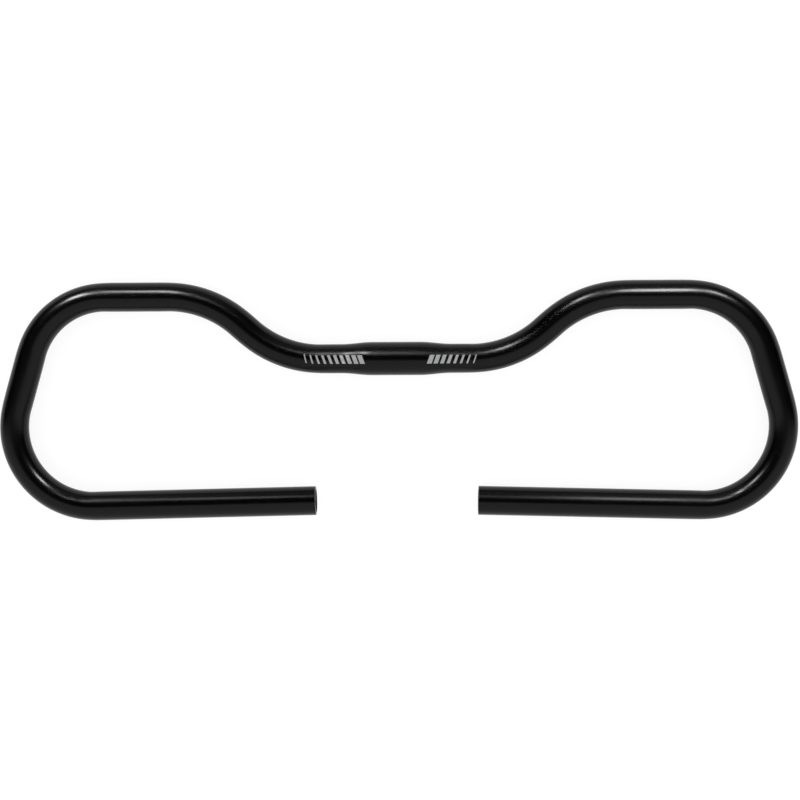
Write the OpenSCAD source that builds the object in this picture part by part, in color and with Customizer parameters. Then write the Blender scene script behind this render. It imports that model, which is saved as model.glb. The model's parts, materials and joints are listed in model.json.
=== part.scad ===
// Comfort handlebar: one tube bent flat into a forward bow with a hand loop on each side

/* [Tube] */
// Outside diameter of the tube
tube_d = 22.2; // [20:0.1:24]
// Wall of the tube
wall = 2.2; // [1.4:0.1:3]
// How much the bender draws the tube in, on its radius, along each bend
bend_draw = 0.2; // [0.1:0.05:0.4]
// Bevel on the outer edge of the two open ends
end_bevel = 0.5; // [0.2:0.1:1]

/* [Clamp zone] */
// Diameter of the zone that the stem clamps
clamp_d = 25.4; // [24.6:0.1:31.8]
// Length of that zone at its full diameter
clamp_len = 36; // [30:1:50]
// Length over which it thins down to the tube, on each side
taper_len = 24; // [12:1:30]
// Straight tube between that taper and the first bend
plain_len = 15; // [8:1:30]

/* [Bow] */
// Centreline radius of the two bends that carry the tube forward
shoulder_r = 83; // [60:1:110]
// Angle that each of those bends turns, in degrees
shoulder_turn = 41.5; // [20:0.5:55]
// Straight tube between those bends
rise_len = 9; // [4:1:40]
// Straight tube along the front, from the bow to the corner
front_len = 48; // [30:1:80]

/* [Hand loops] */
// Centreline radius of the four corners
corner_r = 60; // [45:1:80]
// Angle that the front corner turns, in degrees
front_turn = 73.6; // [60:0.2:88]
// Straight tube along the side, between the corners
side_len = 42; // [20:1:70]
// Straight tube that takes the grip
grip_len = 170; // [120:1:180]
// Angle by which the grips point forward towards their open ends, in degrees
grip_slope = 1.3; // [0:0.1:6]

/* [Hidden] */
$fn = 96;
// The corner behind turns whatever is left, so the loop always comes round to the grip
rear_turn = 180 + grip_slope - front_turn;
tube_r = tube_d / 2;
bore_r = tube_r - wall;
clamp_r = clamp_d / 2;
centre_half = clamp_len / 2 + taper_len + plain_len;
// How far a straight laps over the bend beside it, and how far the bore is cut past an open end
lap = 0.5;
past = 1;
// Steps that draw the soft curve of each taper, and the radius at step i
taper_steps = 12;
function taper_r(i) = tube_r + (clamp_r - tube_r) * (1 + cos(180 * i / taper_steps)) / 2;
coat = [0.07, 0.07, 0.08];

// A straight run of radius r along +X; what follows starts at its end
module run(r, length) {
    translate([-lap, 0, 0]) rotate([0, 90, 0]) cylinder(r = r, h = length + 2 * lap);
    translate([length, 0, 0]) children();
}

// A flat bend in a tube of radius r, turning forward if positive; what follows starts at its end
module bend(r, radius, turn) {
    side = turn > 0 ? 1 : -1;
    translate([0, side * radius, 0]) {
        rotate([0, 0, turn > 0 ? -90 : 90 + turn])
            rotate_extrude(angle = abs(turn)) translate([radius, 0]) circle(r = r - bend_draw);
        rotate([0, 0, turn]) translate([0, -side * radius, 0]) children();
    }
}

// One arm of radius r, from the centre section round to where its grip starts
module arm(r) {
    translate([centre_half, 0, 0])
        bend(r, shoulder_r, shoulder_turn)
        run(r, rise_len)
        bend(r, shoulder_r, -shoulder_turn)
        run(r, front_len)
        bend(r, corner_r, -front_turn)
        run(r, side_len)
        bend(r, corner_r, -rear_turn)
        translate([-lap, 0, 0]) rotate([0, 90, 0]) children();
}

// The grip's straight tube, bevelled at its open end
module grip_outside() {
    cylinder(r = tube_r, h = lap + grip_len - end_bevel);
    translate([0, 0, lap + grip_len - end_bevel])
        cylinder(r1 = tube_r, r2 = tube_r - end_bevel, h = end_bevel);
}

// The straight centre section with its thicker clamp zone, turned about X
module centre_outside() {
    end = centre_half + lap;
    swell = [
        for (side = [-1, 1]) for (k = [0 : taper_steps])
            let (i = side < 0 ? taper_steps - k : k)
            [taper_r(i), side * (clamp_len / 2 + taper_len * i / taper_steps)]
    ];
    rotate([0, 90, 0]) rotate_extrude()
        polygon(concat([[0, -end], [tube_r, -end]], swell, [[tube_r, end], [0, end]]));
}

module handlebar() {
    color(coat) difference() {
        union() {
            centre_outside();
            for (s = [0, 1]) mirror([s, 0, 0]) arm(tube_r) grip_outside();
        }
        union() {
            rotate([0, 90, 0]) cylinder(r = bore_r, h = 2 * (centre_half + lap), center = true);
            for (s = [0, 1]) mirror([s, 0, 0]) arm(bore_r) cylinder(r = bore_r, h = lap + grip_len + past);
        }
    }
}

handlebar();
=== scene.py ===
"""Comfort handlebar: the finished look of a black, bent aluminium bar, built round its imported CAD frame.

Run as a script, it builds every piece in order. In Blender's sidebar the Handlebar tab offers the same steps.
Lengths are metres in the part's own frame: X runs along the clamp zone, Y to the two front runs, Z up.
"""

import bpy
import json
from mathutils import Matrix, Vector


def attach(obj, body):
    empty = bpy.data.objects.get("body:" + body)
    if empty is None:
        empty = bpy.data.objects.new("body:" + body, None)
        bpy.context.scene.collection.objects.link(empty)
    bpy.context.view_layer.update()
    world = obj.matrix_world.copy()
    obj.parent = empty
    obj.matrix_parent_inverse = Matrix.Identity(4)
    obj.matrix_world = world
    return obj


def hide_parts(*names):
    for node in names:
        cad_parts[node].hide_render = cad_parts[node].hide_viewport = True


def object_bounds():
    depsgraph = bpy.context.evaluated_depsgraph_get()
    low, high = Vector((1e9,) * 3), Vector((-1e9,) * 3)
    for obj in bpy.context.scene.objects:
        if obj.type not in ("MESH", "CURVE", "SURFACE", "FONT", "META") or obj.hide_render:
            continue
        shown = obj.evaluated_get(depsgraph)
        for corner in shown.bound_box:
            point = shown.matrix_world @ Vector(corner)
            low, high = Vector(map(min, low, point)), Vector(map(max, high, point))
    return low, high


bl_info = {
    "name": "Comfort handlebar",
    "version": (1, 0, 0),
    "blender": (4, 5, 0),
    "location": "View3D > Sidebar > Handlebar",
    "description": "A bent aluminium handlebar with a black coat, printed stripes and a small studio",
    "category": "Object",
}

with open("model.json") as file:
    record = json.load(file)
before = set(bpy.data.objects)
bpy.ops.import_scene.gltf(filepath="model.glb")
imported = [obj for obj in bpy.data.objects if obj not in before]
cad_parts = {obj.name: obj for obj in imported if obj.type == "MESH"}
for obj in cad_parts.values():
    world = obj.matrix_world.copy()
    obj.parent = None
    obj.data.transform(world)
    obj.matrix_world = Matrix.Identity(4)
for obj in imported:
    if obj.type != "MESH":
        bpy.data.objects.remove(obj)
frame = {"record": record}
cad_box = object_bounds()

import json
from math import ceil, cos, pi, radians, sin, tan

import bmesh
import bpy
from bpy.props import FloatProperty, FloatVectorProperty, IntProperty, PointerProperty
from mathutils import Matrix, Vector

MOUNTS = {mount["name"]: mount["dims"] for mount in frame["record"]["mounts"]}
MM = 0.001
TUBE_RADIUS = MOUNTS["grip_right"]["r_mm"] * MM
GRIP_LENGTH = MOUNTS["grip_right"]["length_mm"] * MM
CLAMP_RADIUS = MOUNTS["stem_clamp"]["r_mm"] * MM
CLAMP_LENGTH = MOUNTS["stem_clamp"]["length_mm"] * MM
BORE_RADIUS = MOUNTS["end_plug_right"]["r_mm"] * MM
BODY = "root"
NODE = "handlebar"


# ---------------------------------------------------------------- settings

def length(name, description, default):
    """A length setting in metres."""
    return FloatProperty(name=name, description=description, default=default, min=0.0, unit="LENGTH",
                         precision=5)


def turn(name, description, default):
    """An angle setting, given in degrees."""
    return FloatProperty(name=name, description=description, default=radians(default), unit="ROTATION")


def colour(name, description, default):
    """A linear colour setting."""
    return FloatVectorProperty(name=name, description=description, default=default, size=3, min=0.0, max=1.0,
                               subtype="COLOR")


def number(name, description, default):
    """A plain number setting."""
    return FloatProperty(name=name, description=description, default=default, min=0.0, precision=4)


class BarSizes(bpy.types.PropertyGroup):
    """Sizes of the bent tube, from the clamp zone out to the mouths."""

    tube_radius: length("Tube radius", "Outer radius of the plain tube", TUBE_RADIUS)
    bore_radius: length("Bore radius", "Radius of the open bore", BORE_RADIUS)
    clamp_radius: length("Clamp radius", "Outer radius of the swollen clamp zone", CLAMP_RADIUS)
    clamp_length: length("Clamp length", "Length of the clamp zone at full radius", CLAMP_LENGTH)
    taper_length: length("Taper length", "Length of the ease from the clamp zone to the plain tube", 0.024)
    centre_half: length("Half centre", "Straight from the middle to the first bend", 0.057)
    shoulder_radius: length("Shoulder radius", "Centre-line radius of the two shoulder bends", 0.083)
    shoulder_turn: turn("Shoulder turn", "Turn of each shoulder bend", 41.5)
    rise_length: length("Rise", "Straight between the shoulder bends", 0.00891)
    front_length: length("Front run", "Straight along the front", 0.04788)
    corner_radius: length("Corner radius", "Centre-line radius of the corner bends", 0.060)
    front_turn: turn("Front corner turn", "Turn of the corner from the front run to the side run", 73.6)
    side_length: length("Side run", "Straight between the corners", 0.04193)
    grip_length: length("Grip length", "Straight that carries the grip", GRIP_LENGTH)
    grip_slope: turn("Grip slope", "Slope of the grip towards the middle", 1.3)
    bend_ease: length("Bend ease", "Length over which a straight runs into a bend", 0.008)
    bend_draw: number("Bend draw", "Share by which a tight bend narrows in its own plane", 0.018)
    lip: length("Lip", "Rounding of the outer edge at each mouth", 0.0005)
    sides: IntProperty(name="Sides", description="Faces round the tube", default=64, min=12, max=128)


class BarFinish(bpy.types.PropertyGroup):
    """Colours and textures of the coat, the bare bore and the print."""

    coat_colour: colour("Coat", "Colour of the black coat", (0.0010, 0.0010, 0.0011))
    coat_roughness: number("Coat roughness", "Roughness of the satin coat", 0.22)
    coat_shine: number("Coat shine", "Specular level of the coat", 0.19)
    peel_height: length("Peel", "Height of the coat's fine orange peel", 0.0000004)
    bare_colour: colour("Bare metal", "Colour of the bare aluminium in the bore", (0.56, 0.565, 0.575))
    print_colour: colour("Print", "Colour of the printed stripes", (0.36, 0.365, 0.37))


class MarkSizes(bpy.types.PropertyGroup):
    """Sizes of the printed stripes on both sides of the clamp zone."""

    height: length("Height", "Height of a stripe round the tube", 0.0066)
    near_width: length("Near width", "Width of the stripe next to the clamp zone", 0.0036)
    far_width: length("Far width", "Width of the outermost stripe", 0.0009)
    slant: turn("Slant", "Lean of the stripes", 20.0)
    film: length("Film", "Thickness of the ink", 0.00004)
    left_start: length("Left start", "Distance of the left row from the middle", 0.0245)
    left_end: length("Left end", "Distance of the left row's far end from the middle", 0.0690)
    left_count: IntProperty(name="Left stripes", description="Stripes in the left row", default=10, min=2)
    right_start: length("Right start", "Distance of the right row from the middle", 0.0245)
    right_end: length("Right end", "Distance of the right row's far end from the middle", 0.0600)
    right_count: IntProperty(name="Right stripes", description="Stripes in the right row", default=8, min=2)


class StudioSettings(bpy.types.PropertyGroup):
    """Light, floor and camera of the small studio."""

    floor_tone: number("Floor tone", "Reflectance of the pale floor", 0.8)
    floor_glow: number("Floor glow", "Share of plain white in the floor that the camera sees", 0.86)
    room_light: number("Room light", "Strength of the even white light all round", 1.0)
    lamp_light: number("Lamp light", "Brightness of the soft lamps", 30.0)
    dim_light: number("Dim light", "Brightness of the dark screens behind the bar", 0.42)
    camera_distance: length("Camera distance", "Camera to the bar's plane", 1.2)
    camera_focal: number("Focal length", "Focal length for a 36 mm sensor, in millimetres", 71.01)
    camera_pitch: turn("Camera pitch", "Tilt of the camera across the bar", 4.6)
    camera_yaw: turn("Camera yaw", "Tilt of the camera along the bar", -1.49)
    camera_roll: turn("Camera roll", "Turn of the picture", 0.32)
    camera_aside: FloatProperty(name="Camera aside", description="Bar's middle to the picture's middle, across",
                                default=-0.00283, unit="LENGTH")
    camera_above: FloatProperty(name="Camera above", description="Bar's middle to the picture's middle, up",
                                default=0.03157, unit="LENGTH")


# ---------------------------------------------------------------- node helpers

def add(tree, kind, inputs=None, **settings):
    """Adds a node. Each entry of inputs is a value or a socket, by the socket's name or number."""
    node = tree.nodes.new(kind)
    for name, value in settings.items():
        setattr(node, name, value)
    for key, value in (inputs or {}).items():
        if isinstance(value, bpy.types.NodeSocket):
            tree.links.new(value, node.inputs[key])
        else:
            node.inputs[key].default_value = value
    return node


def calc(tree, operation, *terms):
    """One step of arithmetic."""
    return add(tree, "ShaderNodeMath", dict(enumerate(terms)), operation=operation).outputs[0]


def scaled(tree, vector, factor):
    """A vector times a number."""
    return add(tree, "ShaderNodeVectorMath", {0: vector, 3: factor}, operation="SCALE").outputs[0]


def vec(tree, operation, *terms):
    """One step of vector arithmetic."""
    return add(tree, "ShaderNodeVectorMath", dict(enumerate(terms)), operation=operation).outputs[0]


def eased(tree, value, low, high, start=0.0, end=1.0):
    """A value between two limits, mapped smoothly to start and end."""
    return add(tree, "ShaderNodeMapRange",
               {"Value": value, "From Min": low, "From Max": high, "To Min": start, "To Max": end},
               interpolation_type="SMOOTHSTEP").outputs[0]


def noise(tree, vector, scale, detail=2.0, roughness=0.5):
    """Soft noise from 0 to 1."""
    return add(tree, "ShaderNodeTexNoise",
               {"Vector": vector, "Scale": scale, "Detail": detail, "Roughness": roughness}).outputs[0]


def inputs_of(tree, *sockets):
    """Gives a Geometry Nodes tree its named inputs and its geometry output, and returns the inputs."""
    for name, kind in sockets:
        tree.interface.new_socket(name=name, in_out="INPUT", socket_type="NodeSocket" + kind)
    tree.interface.new_socket(name="Geometry", in_out="OUTPUT", socket_type="NodeSocketGeometry")
    return add(tree, "NodeGroupInput").outputs


# ---------------------------------------------------------------- the bar's line

def half_runs(size):
    """Lengths and curvatures of the runs from the middle to a mouth."""
    shoulder = size.shoulder_radius * size.shoulder_turn
    rear_turn = pi + size.grip_slope - size.front_turn
    return [
        (size.centre_half, 0.0),
        (shoulder, 1 / size.shoulder_radius),
        (size.rise_length, 0.0),
        (shoulder, -1 / size.shoulder_radius),
        (size.front_length, 0.0),
        (size.corner_radius * size.front_turn, -1 / size.corner_radius),
        (size.side_length, 0.0),
        (size.corner_radius * rear_turn, -1 / size.corner_radius),
        (size.grip_length, 0.0),
    ]


def half_length(size):
    """Length of the centre line from the middle to a mouth."""
    return sum(run for run, _ in half_runs(size))


def curvature(size, at):
    """Curvature at a distance from the middle, eased where a straight runs into a bend."""
    ease = size.bend_ease
    total, start = 0.0, 0.0
    for run, bend in half_runs(size):
        inside = min(at + ease / 2, start + run) - max(at - ease / 2, start)
        total += max(inside, 0.0) / ease * bend
        start += run
    return total


def half_line(size, step=0.001):
    """Points of the right half of the centre line, with each one's narrowing: (x, y, share)."""
    end = half_length(size)
    count = ceil(end / step)
    pace = end / count
    x = y = heading = 0.0
    points = []
    for i in range(count + 1):
        bend = curvature(size, i * pace)
        points.append((x, y, size.bend_draw * abs(bend) * size.corner_radius))
        middle = heading + curvature(size, (i + 0.25) * pace) * pace / 2
        x += cos(middle) * pace
        y += sin(middle) * pace
        heading += curvature(size, (i + 0.5) * pace) * pace
    return points


def line_object(size):
    """The whole centre line as a curve, from the left mouth to the right. Its radius is the bend's narrowing."""
    right = half_line(size)
    whole = [(-x, y, share) for x, y, share in reversed(right)] + right[1:]
    data = bpy.data.curves.new("bar_line", "CURVE")
    data.dimensions = "3D"
    spline = data.splines.new("POLY")
    spline.points.add(len(whole) - 1)
    for point, (x, y, share) in zip(spline.points, whole):
        point.co = (x, y, 0.0, 1.0)
        point.radius = 1 - share
    return linked("bar_line", data)


def outer_radius(size, at):
    """Outer radius at a distance from the middle."""
    past = (at - size.clamp_length / 2) / size.taper_length
    ease = 0.5 + 0.5 * cos(pi * min(max(past, 0.0), 1.0))
    return size.tube_radius + (size.clamp_radius - size.tube_radius) * ease


RING_STEP = 0.0005  # metres between two tries for a ring
RING_SWELL = 0.00006  # metres by which the radius may change between two rings
OUTER_RINGS = (radians(1.9), 0.009)  # most turn and most length between two rings of the outside
BORE_RINGS = (radians(3.4), 0.018)  # the same for the bore


def rings(size, turn_step, longest, end):
    """Distances from the middle at which the wall gets a ring: close in bends and tapers, wide on straights."""
    need, at = 0.0, 0.0
    found = [0.0]
    while at + RING_STEP < end - 2 * RING_STEP:
        at += RING_STEP
        swell = abs(outer_radius(size, at) - outer_radius(size, at - RING_STEP))
        bend = abs(curvature(size, at)) * RING_STEP
        need += RING_STEP / longest + bend / turn_step + swell / RING_SWELL
        if need >= 1.0:
            found.append(at)
            need = 0.0
    return found


def wall_section(size):
    """The wall cut lengthwise: a closed ring of points (distance from the left mouth, radius, finish).

    The finish is 0 on the coat, -1 on the mouth's worn outer edge and 1 on bare metal.
    """
    half = half_length(size)
    lip, inner = size.lip, size.lip / 2
    outer = rings(size, *OUTER_RINGS, half - lip) + [half - 3 * lip, half - 1.2 * lip]
    bore = rings(size, *BORE_RINGS, half - inner) + [half - 2 * lip]
    mouth = [(half - lip + lip * sin(a), size.tube_radius - lip + lip * cos(a), -sin(2 * a))
             for a in (i * pi / 10 for i in range(6))]
    mouth += [(half, size.tube_radius - 1.3 * lip, 0.0), (half, size.bore_radius + 1.3 * inner, 0.0)]
    mouth += [(half - inner + inner * cos(a), size.bore_radius + inner - inner * sin(a), sin(a))
              for a in (i * pi / 8 for i in range(5))]
    outside = [(at, outer_radius(size, at), 0.0) for at in outer] + mouth
    inside = [(at, size.bore_radius, 1.0) for at in reversed(bore)]
    right = outside[1:] + inside[:-1]
    left = [(-at, radius, finish) for at, radius, finish in reversed(right)]
    ring = [outside[0]] + right + [inside[-1]] + left
    return [(half + at, radius, finish) for at, radius, finish in ring]


def section_object(size):
    """The wall section as a mesh of points."""
    data = bpy.data.meshes.new("wall_section")
    data.from_pydata(wall_section(size), [], [])
    return linked("wall_section", data)


# ---------------------------------------------------------------- Geometry Nodes

def follow(tree, line, run, aside, up):
    """Place of a point beside the bar's line: run along it, aside in its plane and up from it."""
    here = add(tree, "GeometryNodeSampleCurve",
               {"Curves": line, "Value": add(tree, "GeometryNodeInputRadius").outputs[0], "Length": run},
               data_type="FLOAT", mode="LENGTH")
    across = vec(tree, "NORMALIZE", vec(tree, "CROSS_PRODUCT", (0.0, 0.0, 1.0), here.outputs["Tangent"]))
    narrowed = calc(tree, "MULTIPLY", aside, here.outputs["Value"])
    place = vec(tree, "ADD", here.outputs["Position"], scaled(tree, across, narrowed))
    return vec(tree, "ADD", place, add(tree, "ShaderNodeCombineXYZ", {"Z": up}).outputs[0])


def tube_tree():
    """A tree that turns the wall section round its line, bends the tube along it and gives both finishes."""
    tree = bpy.data.node_groups.new("bent tube", "GeometryNodeTree")
    given = inputs_of(tree, ("Bar line", "Object"), ("Wall section", "Object"), ("Sides", "Int"),
                      ("Coat", "Material"), ("Bare metal", "Material"))
    line = add(tree, "GeometryNodeObjectInfo", {"Object": given["Bar line"]}).outputs["Geometry"]
    wall = add(tree, "GeometryNodeObjectInfo", {"Object": given["Wall section"]}).outputs["Geometry"]
    points = add(tree, "GeometryNodeAttributeDomainSize", {0: wall}, component="MESH").outputs["Point Count"]
    round_count = calc(tree, "ADD", given["Sides"], 1.0)
    grid = add(tree, "GeometryNodeMeshGrid",
               {"Vertices X": calc(tree, "ADD", points, 1.0), "Vertices Y": round_count}).outputs["Mesh"]
    index = add(tree, "GeometryNodeInputIndex").outputs[0]
    row = calc(tree, "FLOOR", calc(tree, "DIVIDE", calc(tree, "ADD", index, 0.5), round_count))
    column = calc(tree, "SUBTRACT", index, calc(tree, "MULTIPLY", row, round_count))
    ring = calc(tree, "FLOORED_MODULO", row, points)
    sample = add(tree, "GeometryNodeSampleIndex",
                 {"Geometry": wall, "Value": add(tree, "GeometryNodeInputPosition").outputs[0], "Index": ring},
                 data_type="FLOAT_VECTOR", domain="POINT").outputs[0]
    part = add(tree, "ShaderNodeSeparateXYZ", {0: sample}).outputs
    angle = calc(tree, "MULTIPLY", calc(tree, "DIVIDE", column, given["Sides"]), 2 * pi)
    aside = calc(tree, "MULTIPLY", part["Y"], calc(tree, "COSINE", angle))
    up = calc(tree, "MULTIPLY", part["Y"], calc(tree, "SINE", angle))
    straight = add(tree, "ShaderNodeCombineXYZ", {"X": part["X"], "Y": aside, "Z": up}).outputs[0]
    kept = add(tree, "GeometryNodeStoreNamedAttribute",
               {"Geometry": grid, "Name": "straight", "Value": straight},
               data_type="FLOAT_VECTOR", domain="POINT").outputs[0]
    kept = add(tree, "GeometryNodeStoreNamedAttribute",
               {"Geometry": kept, "Name": "finish", "Value": part["Z"]},
               data_type="FLOAT", domain="POINT").outputs[0]
    bent = add(tree, "GeometryNodeSetPosition",
               {"Geometry": kept, "Position": follow(tree, line, part["X"], aside, up)}).outputs[0]
    closed = add(tree, "GeometryNodeMergeByDistance", {"Geometry": bent, "Distance": 1e-6}).outputs[0]
    smooth = add(tree, "GeometryNodeSetShadeSmooth", {"Geometry": closed}).outputs[0]
    whole = add(tree, "GeometryNodeRealizeInstances", {"Geometry": smooth}).outputs[0]
    coated = add(tree, "GeometryNodeSetMaterial", {"Geometry": whole, "Material": given["Coat"]}).outputs[0]
    finish = add(tree, "GeometryNodeInputNamedAttribute", {"Name": "finish"}, data_type="FLOAT").outputs[0]
    bare = add(tree, "GeometryNodeSetMaterial",
               {"Geometry": coated, "Selection": calc(tree, "GREATER_THAN", finish, 0.5),
                "Material": given["Bare metal"]}).outputs[0]
    add(tree, "NodeGroupOutput", {"Geometry": bare})
    return tree


def stripes_tree():
    """A tree that lays a row of slanted, narrowing stripes of ink round the top of the bar."""
    tree = bpy.data.node_groups.new("printed stripes", "GeometryNodeTree")
    given = inputs_of(tree, ("Bar line", "Object"), ("Count", "Int"), ("Middle", "Float"), ("First", "Float"),
                      ("Pitch", "Float"), ("First width", "Float"), ("Width step", "Float"), ("Height", "Float"),
                      ("Lean", "Float"), ("Film", "Float"), ("Tube radius", "Float"), ("Clamp radius", "Float"),
                      ("Clamp half", "Float"), ("Taper", "Float"), ("Ink", "Material"))
    line = add(tree, "GeometryNodeObjectInfo", {"Object": given["Bar line"]}).outputs["Geometry"]
    start = add(tree, "ShaderNodeCombineXYZ", {"X": given["First"]}).outputs[0]
    pace = add(tree, "ShaderNodeCombineXYZ", {"X": given["Pitch"]}).outputs[0]
    row = add(tree, "GeometryNodeMeshLine",
              {"Count": given["Count"], "Start Location": start, "Offset": pace}).outputs[0]
    stripe = add(tree, "GeometryNodeMeshCube",
                 {"Size": (1.0, 1.0, 1.0), "Vertices X": 4, "Vertices Y": 17, "Vertices Z": 2}).outputs["Mesh"]
    index = add(tree, "GeometryNodeInputIndex").outputs[0]
    width = calc(tree, "ADD", given["First width"], calc(tree, "MULTIPLY", index, given["Width step"]))
    size = add(tree, "ShaderNodeCombineXYZ", {"X": width, "Y": given["Height"], "Z": given["Film"]}).outputs[0]
    spread = add(tree, "GeometryNodeInstanceOnPoints",
                 {"Points": row, "Instance": stripe, "Scale": size}).outputs[0]
    whole = add(tree, "GeometryNodeRealizeInstances", {"Geometry": spread}).outputs[0]
    flat = add(tree, "ShaderNodeSeparateXYZ", {0: add(tree, "GeometryNodeInputPosition").outputs[0]}).outputs
    along = calc(tree, "ADD", flat["X"], calc(tree, "MULTIPLY", flat["Y"], given["Lean"]))
    past = calc(tree, "DIVIDE", calc(tree, "SUBTRACT", calc(tree, "ABSOLUTE", along), given["Clamp half"]),
                given["Taper"])
    past = add(tree, "ShaderNodeClamp", {"Value": past}).outputs[0]
    ease = calc(tree, "MULTIPLY_ADD", calc(tree, "COSINE", calc(tree, "MULTIPLY", past, pi)), 0.5, 0.5)
    swell = calc(tree, "SUBTRACT", given["Clamp radius"], given["Tube radius"])
    radius = calc(tree, "MULTIPLY_ADD", swell, ease, given["Tube radius"])
    angle = calc(tree, "DIVIDE", flat["Y"], radius)
    reach = calc(tree, "ADD", radius, flat["Z"])
    run = calc(tree, "ADD", along, given["Middle"])
    laid = add(tree, "GeometryNodeSetPosition",
               {"Geometry": whole,
                "Position": follow(tree, line, run, calc(tree, "MULTIPLY", reach, calc(tree, "SINE", angle)),
                                   calc(tree, "MULTIPLY", reach, calc(tree, "COSINE", angle)))}).outputs[0]
    inked = add(tree, "GeometryNodeSetMaterial", {"Geometry": laid, "Material": given["Ink"]}).outputs[0]
    add(tree, "NodeGroupOutput", {"Geometry": inked})
    return tree


def linked(name, data):
    """A new object in the scene."""
    made = bpy.data.objects.new(name, data)
    bpy.context.scene.collection.objects.link(made)
    return made


def grown(name, tree, values):
    """A plain mesh object from a Geometry Nodes tree with the given inputs, facing outwards."""
    host = linked(name, bpy.data.meshes.new(name + "_seed"))
    modifier = host.modifiers.new("shape", "NODES")
    modifier.node_group = tree
    for item in tree.interface.items_tree:
        if item.in_out == "INPUT":
            modifier[item.identifier] = values[item.name]
    bpy.context.view_layer.update()
    depsgraph = bpy.context.evaluated_depsgraph_get()
    mesh = bpy.data.meshes.new_from_object(host.evaluated_get(depsgraph), preserve_all_data_layers=True,
                                           depsgraph=depsgraph)
    host.modifiers.clear()
    if not mesh.polygons:
        raise RuntimeError(name + " came out empty")
    seed, host.data = host.data, mesh
    bpy.data.meshes.remove(seed)
    mesh.name = name
    skin = bmesh.new()
    skin.from_mesh(mesh)
    bmesh.ops.recalc_face_normals(skin, faces=skin.faces)
    loose = sum(not edge.is_manifold for edge in skin.edges)
    skin.to_mesh(mesh)
    skin.free()
    if loose:
        raise RuntimeError(f"{name} is open at {loose} edges")
    return host


def drop(*helpers):
    """Removes objects that only guided a tree."""
    for helper in helpers:
        bpy.data.objects.remove(helper)


# ---------------------------------------------------------------- materials

def material(name):
    """An empty material with its output, returned as the material, its tree and its main shader."""
    made = bpy.data.materials.new(name)
    made.use_nodes = True
    made.node_tree.nodes.clear()
    shader = made.node_tree.nodes.new("ShaderNodeBsdfPrincipled")
    output = made.node_tree.nodes.new("ShaderNodeOutputMaterial")
    made.node_tree.links.new(shader.outputs[0], output.inputs["Surface"])
    return made, made.node_tree, shader


def mixed(tree, share, first, second):
    """A colour between two colours."""
    node = add(tree, "ShaderNodeMix", {"Factor": share}, data_type="RGBA")
    for socket, value in ((node.inputs[6], first), (node.inputs[7], second)):
        if isinstance(value, bpy.types.NodeSocket):
            tree.links.new(value, socket)
        else:
            socket.default_value = value
    return node.outputs[2]


def opaque(rgb, share=1.0):
    """A colour with its alpha, lighter or darker by share."""
    return (rgb[0] * share, rgb[1] * share, rgb[2] * share, 1.0)


# the coat's textures, in cycles per metre
PEEL_SCALE, DRIFT_SCALE, SPECK_SCALE, WEAR_SCALE = 420.0, 38.0, 2400.0, 900.0
DIE_LINES = (40.0, 2600.0, 2600.0)  # along the tube and both ways across it
SPECK_LEVELS = (0.70, 0.80)  # noise at which a speck begins and is full
WEAR_LEVELS = (1.42, 1.62)  # edge plus noise at which the coat thins and is gone
WEAR_NOISE = 0.7
COAT_TONES = (0.75, 1.3)  # darkest and lightest share of the coat's colour
SPECK_COLOUR = (0.012, 0.012, 0.013, 1.0)
SPECK_COVER, SPECK_ROUGHNESS = 0.25, 0.15
DRIFT_ROUGHNESS, LINE_ROUGHNESS = 0.06, 0.03


def coat_material(finish):
    """Satin black coat: fine orange peel, slow changes of sheen, faint die lines, thin at the mouth's edge."""
    made, tree, shader = material("black_coat_satin")
    place = add(tree, "ShaderNodeTexCoord").outputs["Object"]
    straight = add(tree, "ShaderNodeAttribute", attribute_name="straight").outputs["Vector"]
    finish_here = add(tree, "ShaderNodeAttribute", attribute_name="finish").outputs["Fac"]
    edge = calc(tree, "MULTIPLY", finish_here, -1.0)
    peel = noise(tree, place, PEEL_SCALE)
    drift = noise(tree, place, DRIFT_SCALE, 3.0)
    lines = noise(tree, vec(tree, "MULTIPLY", straight, DIE_LINES), 1.0, 2.0)
    speck = eased(tree, noise(tree, place, SPECK_SCALE, 1.0), *SPECK_LEVELS)
    ragged = calc(tree, "MULTIPLY", noise(tree, place, WEAR_SCALE), WEAR_NOISE)
    worn = eased(tree, calc(tree, "ADD", edge, ragged), *WEAR_LEVELS)
    tone = mixed(tree, drift, *(opaque(finish.coat_colour, share) for share in COAT_TONES))
    tone = mixed(tree, calc(tree, "MULTIPLY", speck, SPECK_COVER), tone, SPECK_COLOUR)
    tree.links.new(mixed(tree, worn, tone, opaque(finish.bare_colour, 0.7)), shader.inputs["Base Color"])
    rough = calc(tree, "MULTIPLY_ADD", drift, DRIFT_ROUGHNESS, finish.coat_roughness - DRIFT_ROUGHNESS / 2)
    rough = calc(tree, "MULTIPLY_ADD", lines, LINE_ROUGHNESS, calc(tree, "SUBTRACT", rough, LINE_ROUGHNESS / 2))
    tree.links.new(calc(tree, "MULTIPLY_ADD", speck, SPECK_ROUGHNESS, rough), shader.inputs["Roughness"])
    tree.links.new(worn, shader.inputs["Metallic"])
    shader.inputs["Specular IOR Level"].default_value = finish.coat_shine
    bump = add(tree, "ShaderNodeBump", {"Strength": 1.0, "Distance": finish.peel_height, "Height": peel})
    tree.links.new(bump.outputs[0], shader.inputs["Normal"])
    return made


BORE_LINES = (25.0, 1900.0, 1900.0)  # cycles per metre along the tube and both ways across it
CLOUD_SCALE = 260.0
SPRAY_REACH = (0.006, 0.022)  # metres from the mouth at which the overspray starts to fade and ends
SPRAY_RAGGED = 0.012
METAL_TONES = (0.72, 1.08)
METAL_ROUGHNESS = (0.22, 0.34)  # what the draw lines add, and the least
LINE_DEPTH = 0.00001


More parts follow.
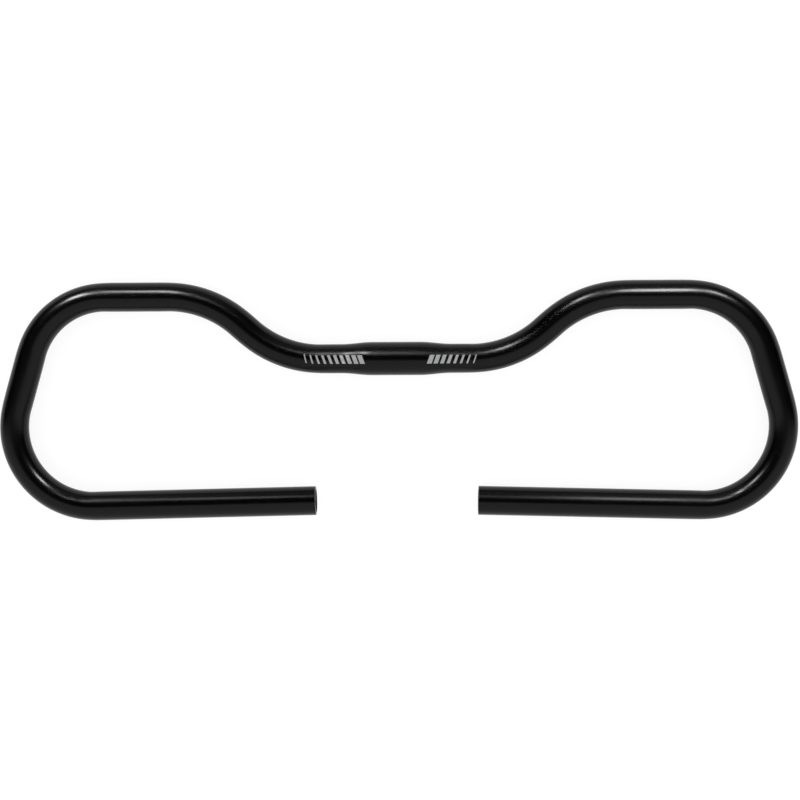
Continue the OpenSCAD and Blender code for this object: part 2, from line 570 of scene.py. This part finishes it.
def bare_material(finish, length_of_line):
    """Dull drawn aluminium in the bore, with black overspray just inside each mouth."""
    made, tree, shader = material("bare_aluminium")
    place = add(tree, "ShaderNodeTexCoord").outputs["Object"]
    straight = add(tree, "ShaderNodeAttribute", attribute_name="straight").outputs["Vector"]
    run = add(tree, "ShaderNodeSeparateXYZ", {0: straight}).outputs["X"]
    depth = calc(tree, "MINIMUM", run, calc(tree, "SUBTRACT", length_of_line, run))
    lines = noise(tree, vec(tree, "MULTIPLY", straight, BORE_LINES), 1.0, 3.0)
    cloud = noise(tree, place, CLOUD_SCALE, 4.0, 0.6)
    reach = calc(tree, "ADD", depth, calc(tree, "MULTIPLY", cloud, SPRAY_RAGGED))
    spray = eased(tree, reach, *SPRAY_REACH, 1.0, 0.0)
    metal = mixed(tree, lines, *(opaque(finish.bare_colour, share) for share in METAL_TONES))
    tree.links.new(mixed(tree, spray, metal, opaque(finish.coat_colour, 3.0)), shader.inputs["Base Color"])
    tree.links.new(calc(tree, "SUBTRACT", 1.0, spray), shader.inputs["Metallic"])
    tree.links.new(calc(tree, "MULTIPLY_ADD", lines, *METAL_ROUGHNESS), shader.inputs["Roughness"])
    bump = add(tree, "ShaderNodeBump", {"Strength": 1.0, "Distance": LINE_DEPTH, "Height": lines})
    tree.links.new(bump.outputs[0], shader.inputs["Normal"])
    return made


INK_SCALE, PINHOLE_SCALE = 420.0, 3800.0  # cycles per metre
PINHOLE_LEVELS = (0.66, 0.78)  # noise at which a pinhole begins and is full
INK_TONES = (0.82, 1.12)
PINHOLE_TONE, PINHOLE_COVER = 0.25, 0.6
INK_ROUGHNESS = (0.15, 0.5)  # what the cloud adds, and the least
INK_SHINE = 0.25


def ink_material(finish):
    """Matt light grey ink, a little uneven and thin at pinholes."""
    made, tree, shader = material("grey_ink")
    place = add(tree, "ShaderNodeTexCoord").outputs["Object"]
    cloud = noise(tree, place, INK_SCALE, 3.0)
    hole = eased(tree, noise(tree, place, PINHOLE_SCALE, 1.0), *PINHOLE_LEVELS)
    tone = mixed(tree, cloud, *(opaque(finish.print_colour, share) for share in INK_TONES))
    thin = opaque(finish.print_colour, PINHOLE_TONE)
    tone = mixed(tree, calc(tree, "MULTIPLY", hole, PINHOLE_COVER), tone, thin)
    tree.links.new(tone, shader.inputs["Base Color"])
    tree.links.new(calc(tree, "MULTIPLY_ADD", cloud, *INK_ROUGHNESS), shader.inputs["Roughness"])
    shader.inputs["Specular IOR Level"].default_value = INK_SHINE
    return made


# ---------------------------------------------------------------- operators

class HANDLEBAR_OT_bar(bpy.types.Operator):
    """Build the bent tube with its clamp zone, open mouths and both finishes"""

    bl_idname = "handlebar.bar"
    bl_label = "Bent tube"

    def execute(self, context):
        size, finish = context.scene.bar_sizes, context.scene.bar_finish
        line, section = line_object(size), section_object(size)
        bar = grown("bar_tube", tube_tree(), {
            "Bar line": line, "Wall section": section, "Sides": size.sides,
            "Coat": coat_material(finish), "Bare metal": bare_material(finish, 2 * half_length(size))})
        drop(line, section)
        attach(bar, BODY)
        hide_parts(NODE)
        return {"FINISHED"}


class HANDLEBAR_OT_marks(bpy.types.Operator):
    """Print a row of slanted stripes on each side of the clamp zone"""

    bl_idname = "handlebar.marks"
    bl_label = "Printed stripes"

    def execute(self, context):
        size, mark = context.scene.bar_sizes, context.scene.mark_sizes
        line, tree, ink = line_object(size), stripes_tree(), ink_material(context.scene.bar_finish)
        rows = (("print_left", -1, mark.left_start, mark.left_end, mark.left_count),
                ("print_right", 1, mark.right_start, mark.right_end, mark.right_count))
        for name, way, start, end, count in rows:
            first = start + mark.near_width / 2
            last = end - mark.far_width / 2
            made = grown(name, tree, {
                "Bar line": line, "Count": count, "Middle": half_length(size), "First": way * first,
                "Pitch": way * (last - first) / (count - 1), "First width": mark.near_width,
                "Width step": (mark.far_width - mark.near_width) / (count - 1), "Height": mark.height,
                "Lean": way * sin(mark.slant) / cos(mark.slant), "Film": mark.film * 2,
                "Tube radius": size.tube_radius, "Clamp radius": size.clamp_radius,
                "Clamp half": size.clamp_length / 2, "Taper": size.taper_length, "Ink": ink})
            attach(made, BODY)
        drop(line)
        return {"FINISHED"}


class HANDLEBAR_OT_stage(bpy.types.Operator):
    """Set up the pale floor, the soft light and the camera"""

    bl_idname = "handlebar.stage"
    bl_label = "Stage"

    def execute(self, context):
        studio = context.scene.studio
        set_room(context.scene, studio)
        set_floor(studio)
        set_screens(studio)
        set_panels(studio)
        set_lamps(studio)
        set_camera(context.scene, studio)
        return {"FINISHED"}


# ---------------------------------------------------------------- the studio

WHITE = (1.0, 1.0, 1.0, 1.0)
FLOOR_HALF = 4.0  # half the floor's width
FLOOR_GAP = 0.00005  # metres under the bar
FLOOR_WHITE = 1.06  # glow and reflectance together of the floor that is seen


def set_room(scene, studio):
    """Even white light from all round."""
    world = bpy.data.worlds.new("white_room")
    world.use_nodes = True
    world.node_tree.nodes.clear()
    light = add(world.node_tree, "ShaderNodeBackground", {"Color": WHITE, "Strength": studio.room_light})
    add(world.node_tree, "ShaderNodeOutputWorld", {"Surface": light.outputs[0]})
    scene.world = world


def set_floor(studio):
    """A wide pale floor just under the bar.

    Camera, glossy and transmission rays see it near white, with the bar's shadow.
    """
    size = FLOOR_HALF
    low = cad_box[0][2] - FLOOR_GAP
    corners = [(-size, -size, low), (size, -size, low), (size, size, low), (-size, size, low)]
    data = bpy.data.meshes.new("floor")
    data.from_pydata(corners, [], [(0, 1, 2, 3)])
    floor = linked("floor", data)
    made = bpy.data.materials.new("pale_floor")
    made.use_nodes = True
    tree = made.node_tree
    tree.nodes.clear()
    plain = add(tree, "ShaderNodeBsdfDiffuse", {"Color": opaque(WHITE, studio.floor_tone)})
    seen = add(tree, "ShaderNodeBsdfDiffuse", {"Color": opaque(WHITE, FLOOR_WHITE - studio.floor_glow)})
    glow = add(tree, "ShaderNodeEmission", {"Color": WHITE, "Strength": studio.floor_glow})
    white = add(tree, "ShaderNodeAddShader", {0: seen.outputs[0], 1: glow.outputs[0]})
    path = add(tree, "ShaderNodeLightPath").outputs
    looked = calc(tree, "MAXIMUM", path["Is Camera Ray"],
                  calc(tree, "MAXIMUM", path["Is Glossy Ray"], path["Is Transmission Ray"]))
    mix = add(tree, "ShaderNodeMixShader", {0: looked, 1: plain.outputs[0], 2: white.outputs[0]})
    add(tree, "ShaderNodeOutputMaterial", {"Surface": mix.outputs[0]})
    data.materials.append(made)


def reflected_only(thing):
    """Leaves an object to be seen in reflections alone, so that it shades and hides nothing."""
    thing.visible_camera = False
    thing.visible_diffuse = False
    thing.visible_transmission = False
    thing.visible_volume_scatter = False
    thing.visible_shadow = False


def emitter(name, points, faces, shade):
    """A studio screen seen in reflections alone. A function of its tree gives its cover and glow."""
    data = bpy.data.meshes.new(name)
    data.from_pydata(points, [], faces)
    screen = linked(name, data)
    made = bpy.data.materials.new(name)
    made.use_nodes = True
    tree = made.node_tree
    tree.nodes.clear()
    cover, glow = shade(tree)
    light = add(tree, "ShaderNodeEmission", {"Strength": glow})
    clear = add(tree, "ShaderNodeBsdfTransparent")
    mix = add(tree, "ShaderNodeMixShader", {0: cover, 1: clear.outputs[0], 2: light.outputs[0]})
    add(tree, "ShaderNodeOutputMaterial", {"Surface": mix.outputs[0]})
    made.cycles.emission_sampling = "NONE"
    data.materials.append(made)
    reflected_only(screen)


HOOD_FRONT = (-0.32, -0.1)  # Y at which the hood starts and is full
HOOD_SIDE = (0.7, 1.0)  # distance from the middle at which it fades and ends
WALL_FRONT = (-0.18, 0.0)  # share of the way that points back, where the wall starts and is full
WALL_DIM = (0.80, 0.97)  # the same within the level, where its dim middle starts and is full
WALL_RADIUS = 6.0


def hood_shade(tree):
    """Black over the camera, soft at the front and at both sides."""
    part = add(tree, "ShaderNodeSeparateXYZ", {0: add(tree, "ShaderNodeTexCoord").outputs["Object"]}).outputs
    front = eased(tree, part["Y"], *HOOD_FRONT)
    side = eased(tree, calc(tree, "ABSOLUTE", part["X"]), *HOOD_SIDE, 1.0, 0.0)
    return calc(tree, "MULTIPLY", front, side), 0.0


def even_shade(cover, glow=0.0):
    """A screen that covers the same share everywhere, dark or glowing."""
    def shade(tree):
        return cover, glow
    return shade


def wall_shade(dim_light):
    """The wall behind the bar: open to the white room in front, black at the sides, dim in the middle."""
    def shade(tree):
        way = vec(tree, "NORMALIZE", add(tree, "ShaderNodeTexCoord").outputs["Object"])
        part = add(tree, "ShaderNodeSeparateXYZ", {0: way}).outputs
        flat = add(tree, "ShaderNodeVectorMath", {0: vec(tree, "MULTIPLY", way, (1.0, 1.0, 0.0))},
                   operation="LENGTH").outputs["Value"]
        ahead = calc(tree, "DIVIDE", part["Y"], calc(tree, "MAXIMUM", flat, 0.01))
        glow = calc(tree, "MULTIPLY", eased(tree, ahead, *WALL_DIM), dim_light)
        return eased(tree, part["Y"], *WALL_FRONT), glow
    return shade


SHEETS = (
    # name, left, right, front and back edge, height, shade
    ("camera_hood", -1.1, 1.1, -0.4, 0.6, 1.25, hood_shade),
    ("grip_flag_left", -0.25, -0.04, -0.106, -0.068, 0.03, even_shade(0.85)),
    ("grip_flag_right", 0.04, 0.25, -0.106, -0.068, 0.03, even_shade(0.65)),
)


def set_screens(studio):
    """Dark screens of the studio: a hood over the camera, a flag over each grip, a wall behind the bar."""
    for name, left, right, front, back, height, shade in SHEETS:
        corners = [(left, front, height), (right, front, height), (right, back, height), (left, back, height)]
        emitter(name, corners, [(0, 1, 2, 3)], shade)
    dome = bmesh.new()
    bmesh.ops.create_uvsphere(dome, u_segments=48, v_segments=24, radius=WALL_RADIUS)
    bmesh.ops.delete(dome, geom=[v for v in dome.verts if v.co.z < -0.01], context="VERTS")
    dome.verts.index_update()
    emitter("dark_wall", [v.co[:] for v in dome.verts], [[v.index for v in f.verts] for f in dome.faces],
            wall_shade(studio.dim_light))
    dome.free()


PANELS = (
    # name, place, width and height, share of the lamp light
    ("panel_left", (-0.92, 3.45, 3.50), 0.45, 1.50, 2.2),
    ("panel_middle", (0.27, 3.06, 3.94), 0.80, 1.30, 0.12),
)


PANEL_SIDES = 48


def set_panels(studio):
    """Two far oval panels that face the bar. The flags keep them off the grips."""
    for name, place, wide, high, share in PANELS:
        centre = Vector(place)
        faced = centre.to_track_quat("Z", "Y")
        angles = [2 * pi * i / PANEL_SIDES for i in range(PANEL_SIDES)]
        rim = [centre + faced @ Vector((wide / 2 * cos(a), high / 2 * sin(a), 0.0)) for a in angles]
        emitter(name, [point[:] for point in rim], [range(PANEL_SIDES)],
                even_shade(1.0, share * studio.lamp_light))


LAMPS = (
    # name, place, aimed at, width and height, degrees it spreads, share of the lamp light
    ("lamp_right", (0.282, 0.372, 0.486), (0.20, 0.03, 0.0), 0.11, 0.22, 46.0, 2.3),
    ("corner_lamp_left", (-0.40, 0.275, 0.27), (-0.24, 0.025, 0.0), 0.09, 0.12, 60.0, 2.6),
    ("corner_lamp_right", (0.382, 0.287, 0.30), (0.24, 0.025, 0.0), 0.09, 0.12, 60.0, 1.4),
    ("loop_lamp_left", (-0.10, 0.12, 0.227), (-0.26, -0.10, 0.0), 0.06, 0.08, 44.0, 2.8),
    ("loop_lamp_right", (0.10, 0.12, 0.227), (0.26, -0.10, 0.0), 0.06, 0.08, 44.0, 1.6),
)


def set_lamps(studio):
    """Soft lamps whose reflections draw the bright lines along the bar."""
    for name, place, target, wide, high, spread, share in LAMPS:
        data = bpy.data.lights.new(name, "AREA")
        data.shape = "ELLIPSE"
        data.size, data.size_y = wide, high
        data.energy = share * studio.lamp_light * pi * pi * wide * high / 4
        data.spread = radians(spread)
        # a narrower lamp is brighter along its middle, so its power is cut to keep that as it was
        data.energy *= 1 - data.spread / 2 / tan(data.spread / 2)
        lamp = linked(name, data)
        lamp.location = place
        lamp.rotation_euler = (Vector(place) - Vector(target)).to_track_quat("Z", "Y").to_euler()
        reflected_only(lamp)


SENSOR_WIDTH = 36.0  # millimetres


def set_camera(scene, studio):
    """The camera at the picture's angle: nearly straight above, for a square picture."""
    turned = (Matrix.Rotation(studio.camera_roll, 4, "Z") @ Matrix.Rotation(studio.camera_pitch, 4, "X")
              @ Matrix.Rotation(studio.camera_yaw, 4, "Y"))
    moved = Matrix.Translation((studio.camera_aside, studio.camera_above, -studio.camera_distance))
    data = bpy.data.cameras.new("camera")
    data.sensor_width = SENSOR_WIDTH
    data.sensor_fit = "HORIZONTAL"
    data.lens = studio.camera_focal
    data.clip_start, data.clip_end = 0.01, 50.0
    camera = linked("camera", data)
    camera.matrix_world = (moved @ turned).inverted()
    scene.camera = camera
    scene.view_settings.view_transform = "Standard"


# ---------------------------------------------------------------- panel and run

class HANDLEBAR_PT_panel(bpy.types.Panel):
    """Lists the steps and their settings"""

    bl_idname = "HANDLEBAR_PT_panel"
    bl_label = "Comfort handlebar"
    bl_space_type = "VIEW_3D"
    bl_region_type = "UI"
    bl_category = "Handlebar"

    def draw(self, context):
        steps = ((HANDLEBAR_OT_bar, ("bar_sizes", "bar_finish")), (HANDLEBAR_OT_marks, ("mark_sizes",)),
                 (HANDLEBAR_OT_stage, ("studio",)))
        for step, groups in steps:
            box = self.layout.box()
            box.operator(step.bl_idname)
            for group in groups:
                held = getattr(context.scene, group)
                for name in held.__annotations__:
                    box.prop(held, name)


SETTINGS = {"bar_sizes": BarSizes, "bar_finish": BarFinish, "mark_sizes": MarkSizes, "studio": StudioSettings}
CLASSES = (*SETTINGS.values(), HANDLEBAR_OT_bar, HANDLEBAR_OT_marks, HANDLEBAR_OT_stage, HANDLEBAR_PT_panel)


def register():
    """Adds the settings, steps and panel."""
    for made in CLASSES:
        bpy.utils.register_class(made)
    for name, group in SETTINGS.items():
        setattr(bpy.types.Scene, name, PointerProperty(type=group))


def unregister():
    """Takes them away again."""
    for name in SETTINGS:
        delattr(bpy.types.Scene, name)
    for made in reversed(CLASSES):
        bpy.utils.unregister_class(made)


def main():
    """Builds everything."""
    register()
    bpy.ops.handlebar.bar()
    bpy.ops.handlebar.marks()
    bpy.ops.handlebar.stage()
    bpy.context.view_layer.update()


if __name__ == "__main__":
    main()
